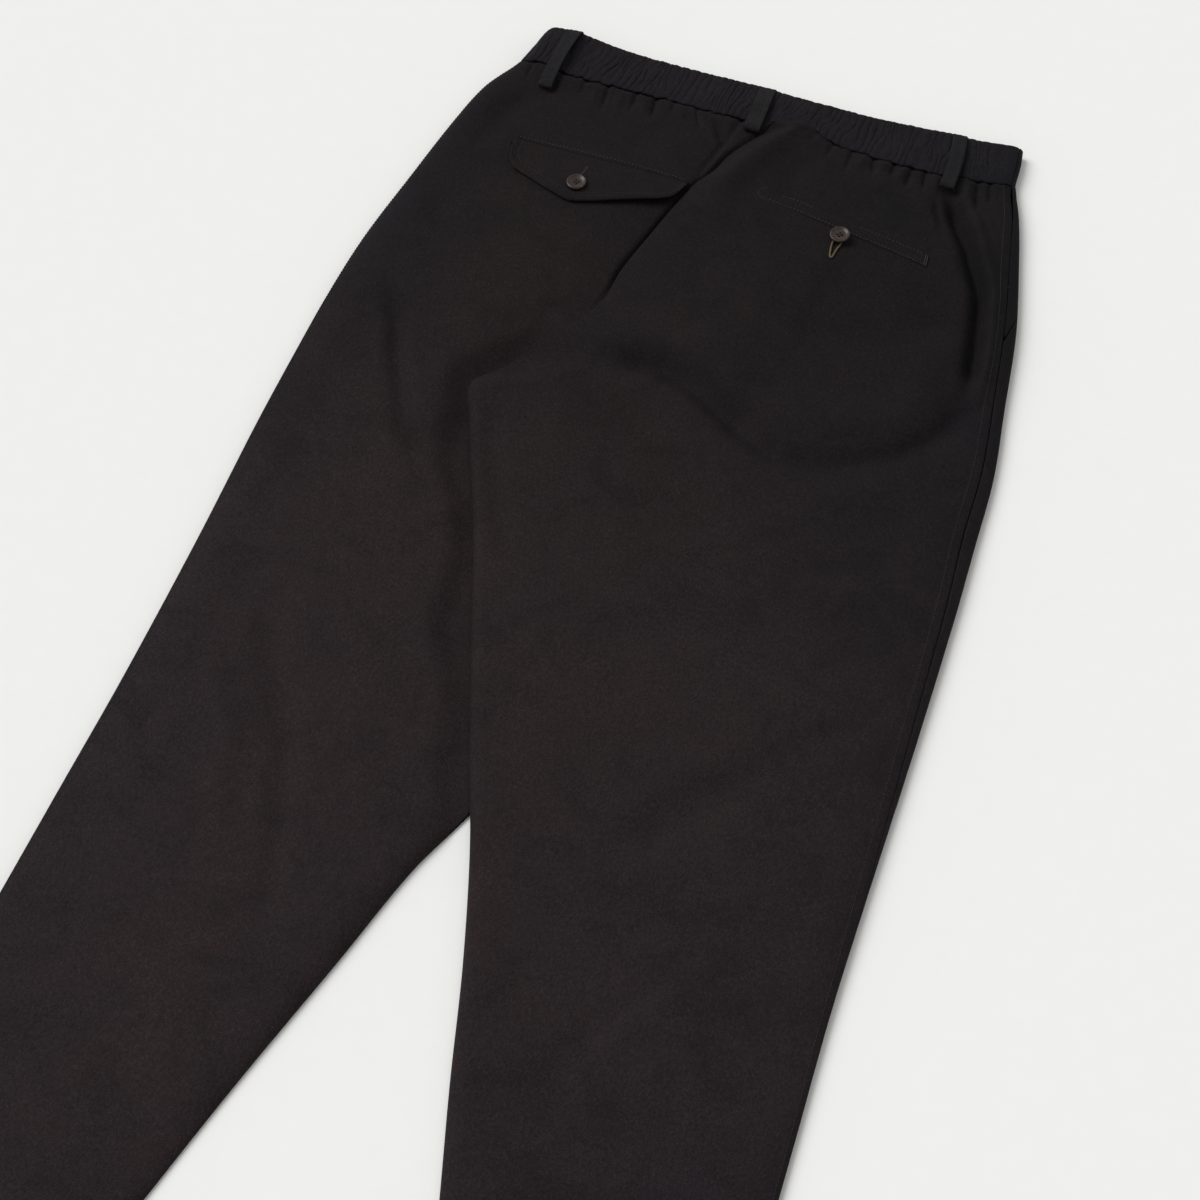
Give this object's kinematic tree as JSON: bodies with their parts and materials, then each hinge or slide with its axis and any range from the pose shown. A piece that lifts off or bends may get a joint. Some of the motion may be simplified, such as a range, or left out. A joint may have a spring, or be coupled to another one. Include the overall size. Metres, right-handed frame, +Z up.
{
  "type": "elastic-waist cotton trousers",
  "caption": "Charcoal elastic-waist cotton trousers laid face down, one leg over the other, with belt loops, a buttoned flap pocket and a buttoned welt pocket.",
  "frame": {"origin": "middle of the garment's box, on the surface that it lies on", "axes": "+X across the garment along the waistband, +Y from the hems to the waistband, +Z up from the surface"},
  "size_m": [0.542, 1.0695, 0.0284],
  "materials": {
    "cloth": "brushed cotton twill, matt",
    "horn": "horn-look, satin",
    "thread": "twisted olive-tan thread"
  },
  "bodies": {
    "root": {"back_left": "cloth", "back_right": "cloth", "front_left": "cloth", "front_right": "cloth", "pocket_facing_left": "cloth", "pocket_facing_right": "cloth", "waistband_back": "cloth", "waistband_front": "cloth", "belt_loop_left": "cloth", "belt_loop_centre": "cloth", "belt_loop_right": "cloth", "pocket_flap": "cloth", "pocket_welt": "cloth", "flap_button": "horn", "welt_button": "horn", "thread_loop": "thread"}
  },
  "joints": []
}
